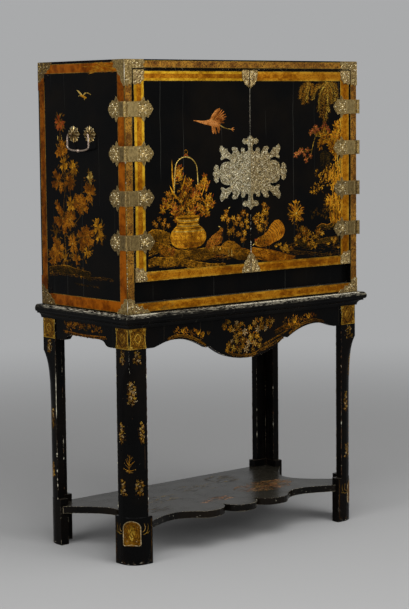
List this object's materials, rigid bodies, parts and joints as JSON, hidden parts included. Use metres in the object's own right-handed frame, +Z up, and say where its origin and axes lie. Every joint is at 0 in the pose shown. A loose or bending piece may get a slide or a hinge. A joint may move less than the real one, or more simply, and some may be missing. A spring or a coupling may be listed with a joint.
{
  "type": "cabinet on stand",
  "caption": "Japanned cabinet with hinged doors, shelves and brass mounts on an open legged stand with shaped aprons and a lobed undertier.",
  "frame": {"origin": "on the floor, under the middle of the whole piece", "axes": "+X to the right as one faces the doors, +Y to the back, +Z up"},
  "size_m": [1.018, 0.484, 1.5483],
  "materials": {
    "lacquer": "black japanning with raised and flat gilding, gloss worn to satin",
    "worn_lacquer": "black japanning rubbed grey, satin",
    "bare_wood": "stained softwood, dry",
    "brass": "engraved brass, dulled with age",
    "pale_brass": "engraved pale brass, dulled with age",
    "iron": "filed iron, darkened"
  },
  "bodies": {
    "cabinet": {"apron_back": "lacquer", "apron_front": "lacquer", "apron_left": "lacquer", "apron_right": "lacquer", "base_panel": "lacquer", "case_back": "bare_wood", "case_bottom": "lacquer", "case_mount_bottom_left": "brass", "case_mount_bottom_right": "brass", "case_mount_top_left": "brass", "case_mount_top_right": "brass", "case_side_left": "lacquer", "case_side_right": "lacquer", "case_top": "lacquer", "hinge_left_1_case_leaf": "brass", "hinge_left_2_case_leaf": "brass", "hinge_left_3_case_leaf": "brass", "hinge_left_4_case_leaf": "brass", "hinge_right_1_case_leaf": "brass", "hinge_right_2_case_leaf": "brass", "hinge_right_3_case_leaf": "brass", "hinge_right_4_case_leaf": "brass", "inner_floor": "bare_wood", "inner_shelf_1": "bare_wood", "inner_shelf_2": "bare_wood", "leg_back_left": "lacquer", "leg_back_right": "lacquer", "leg_front_left": "lacquer", "leg_front_right": "lacquer", "rosette_left_back": "brass", "rosette_left_front": "brass", "rosette_right_back": "brass", "rosette_right_front": "brass", "stand_moulding": "lacquer", "stand_top": "worn_lacquer", "undertier": "worn_lacquer"},
    "left_door": {"door_left": "lacquer", "door_mount_bottom_meeting_left": "brass", "door_mount_bottom_outer_left": "brass", "door_mount_top_meeting_left": "brass", "door_mount_top_outer_left": "brass", "hinge_left_1_door_leaf": "brass", "hinge_left_2_door_leaf": "brass", "hinge_left_3_door_leaf": "brass", "hinge_left_4_door_leaf": "brass", "lock_plate_left": "pale_brass"},
    "right_door": {"door_right": "lacquer", "door_mount_bottom_meeting_right": "brass", "door_mount_bottom_outer_right": "brass", "door_mount_top_meeting_right": "brass", "door_mount_top_outer_right": "brass", "hinge_right_1_door_leaf": "brass", "hinge_right_2_door_leaf": "brass", "hinge_right_3_door_leaf": "brass", "hinge_right_4_door_leaf": "brass", "lock_case": "iron", "lock_plate_right": "pale_brass"},
    "bolt": {"lock_bolt": "iron"},
    "left_bail": {"bail_left": "brass"},
    "right_bail": {"bail_right": "brass"}
  },
  "joints": [
    {"name": "left_door_hinge", "type": "hinge", "parent": "cabinet", "child": "left_door", "pos_m": [-0.4895, -0.2205, 1.195], "axis": [0, 0, -1], "range_deg": [0, 180]},
    {"name": "right_door_hinge", "type": "hinge", "parent": "cabinet", "child": "right_door", "pos_m": [0.4895, -0.2205, 1.195], "axis": [0, 0, 1], "range_deg": [0, 180]},
    {"name": "lock_bolt_slide", "type": "slide", "parent": "right_door", "child": "bolt", "axis": [-1, 0, 0], "range_m": [0, 0.009]},
    {"name": "left_bail_swing", "type": "hinge", "parent": "cabinet", "child": "left_bail", "pos_m": [-0.501, 0.003, 1.323], "axis": [0, 1, 0], "range_deg": [0, 165]},
    {"name": "right_bail_swing", "type": "hinge", "parent": "cabinet", "child": "right_bail", "pos_m": [0.501, 0.003, 1.323], "axis": [0, -1, 0], "range_deg": [0, 165]}
  ]
}
